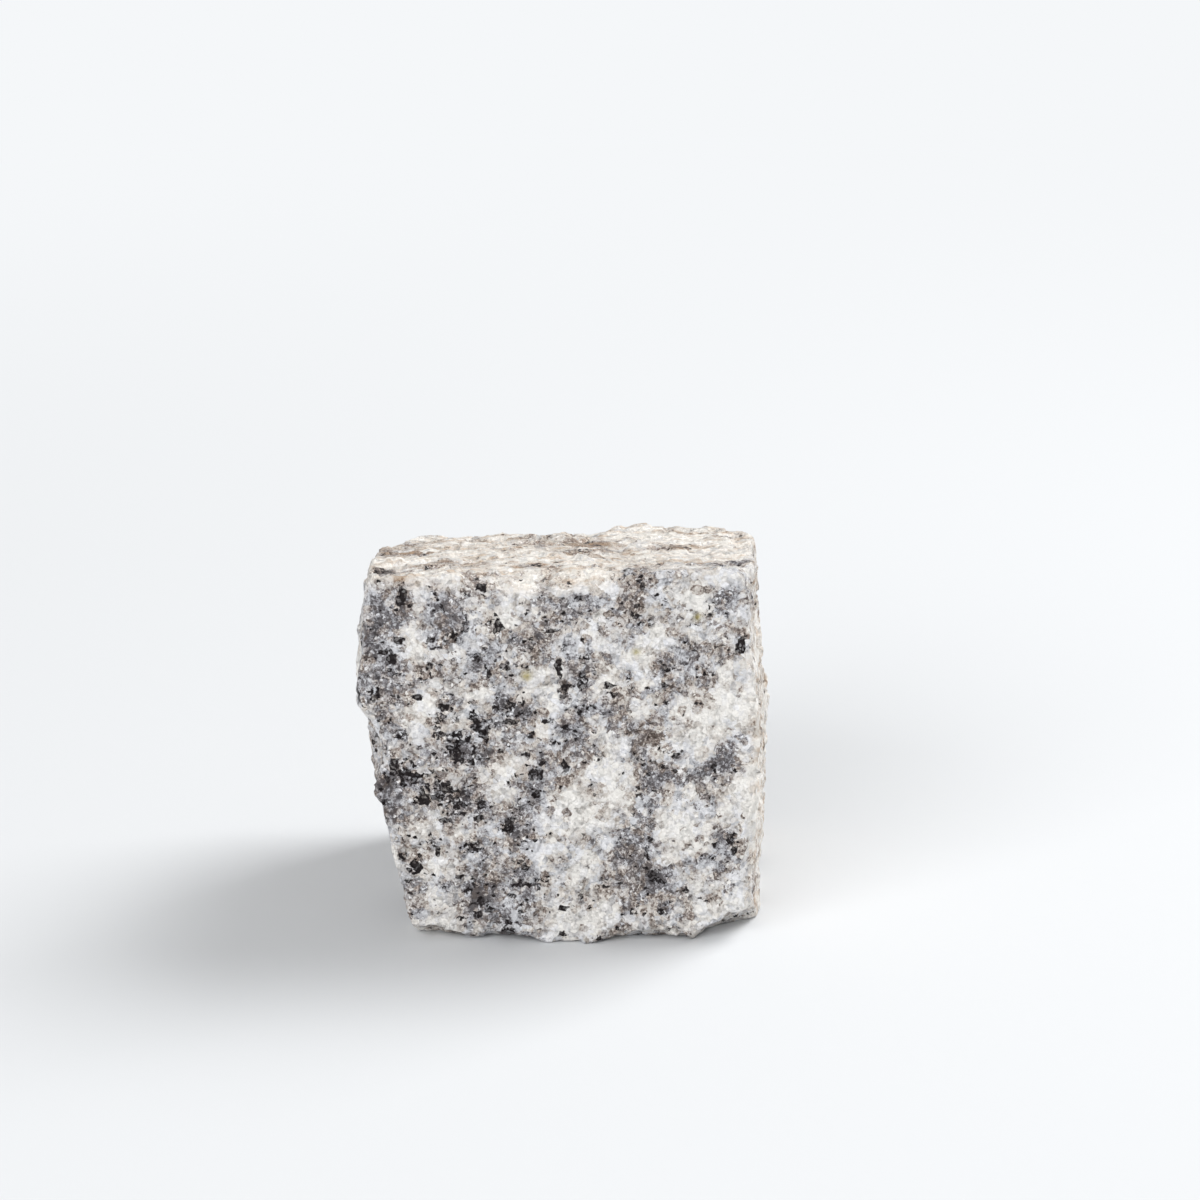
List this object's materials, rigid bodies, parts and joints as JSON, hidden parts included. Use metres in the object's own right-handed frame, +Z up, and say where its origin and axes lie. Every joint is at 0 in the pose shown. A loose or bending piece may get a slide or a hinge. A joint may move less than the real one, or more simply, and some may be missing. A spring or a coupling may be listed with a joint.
{
  "type": "stone sett",
  "caption": "Hand-split granite sett, a rough cube with gently crowned broken faces, chipped arrises and a flat bed to lay it on",
  "frame": {"origin": "middle of the sett's outline on the level of the bed it lies on", "axes": "X runs across the front face, Y from the front face to the back, Z up from the bed to the top"},
  "size_m": [0.0696, 0.0601, 0.0653],
  "materials": {
    "granite": "rough hand-split break, coarse white, grey and cream crystals flecked with black mica"
  },
  "bodies": {
    "root": {"sett": "granite"}
  },
  "joints": []
}
